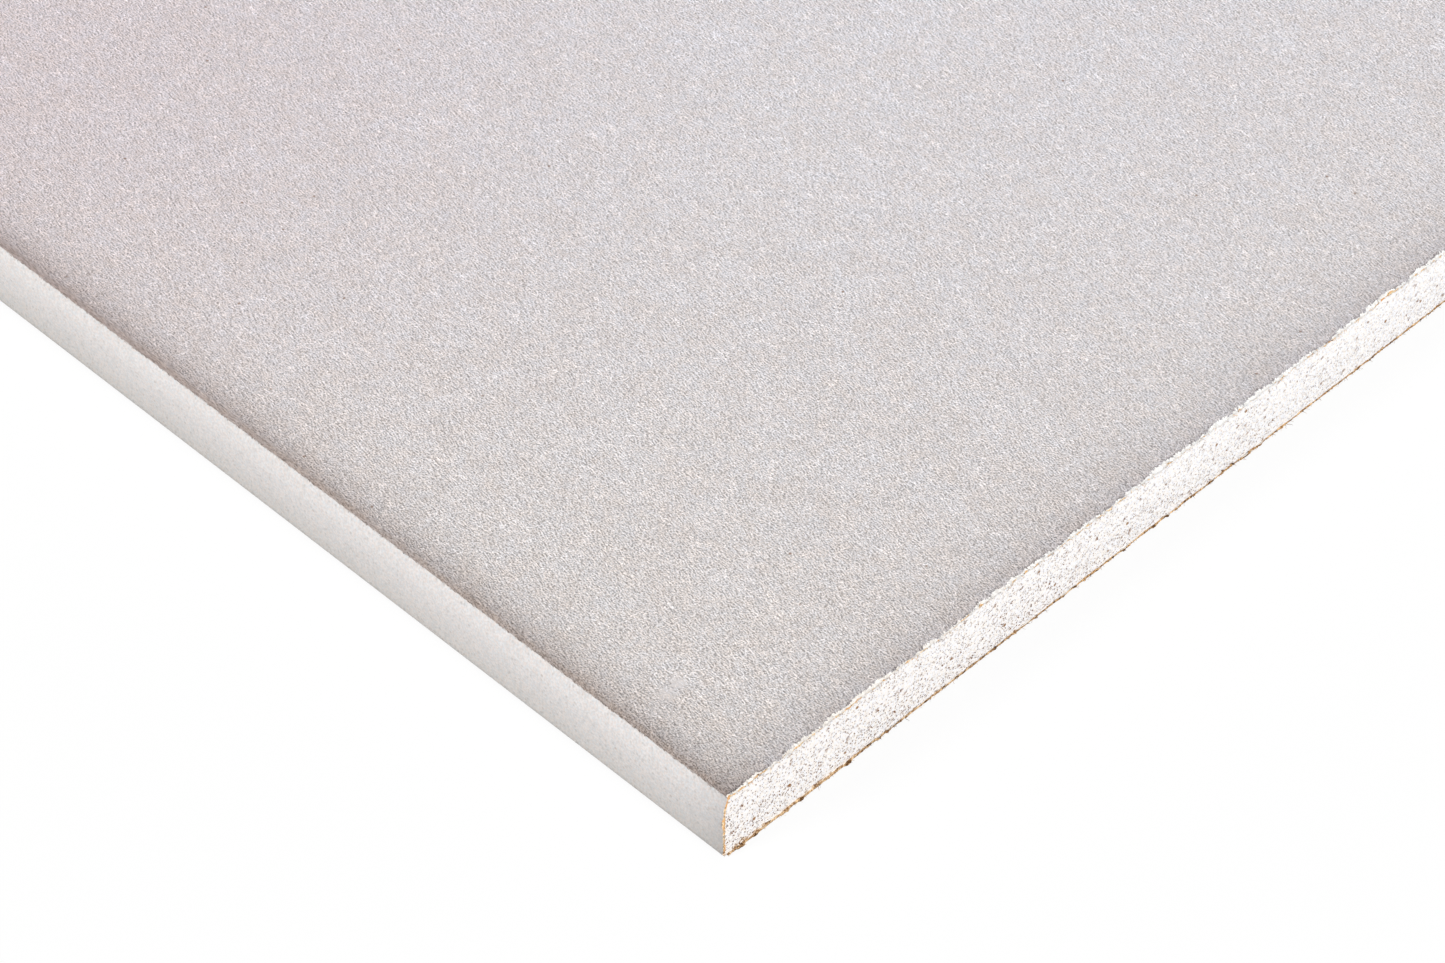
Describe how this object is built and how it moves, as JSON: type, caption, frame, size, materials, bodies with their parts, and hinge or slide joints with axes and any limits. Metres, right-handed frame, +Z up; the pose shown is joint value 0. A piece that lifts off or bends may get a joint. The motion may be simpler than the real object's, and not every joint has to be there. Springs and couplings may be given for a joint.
{
  "type": "drywall sheet",
  "caption": "Flat gypsum drywall sheet with paper-wrapped long edges, sawn ends and a brown back paper, screwed to studs or joists to line walls and ceilings.",
  "frame": {"origin": "middle of the back, on the surface that the sheet lies on", "axes": "+X along the length and the paper-wrapped edges, +Y across the width, +Z up out of the face"},
  "size_m": [2.4, 1.2, 0.0125],
  "materials": {
    "gypsum": "matte, porous sawn gypsum",
    "face_paper": "matte, fibrous light grey paper",
    "back_paper": "matte, rough brown paper"
  },
  "bodies": {
    "root": {"gypsum_core": "gypsum", "face_paper": "face_paper", "back_paper": "back_paper"}
  },
  "joints": []
}
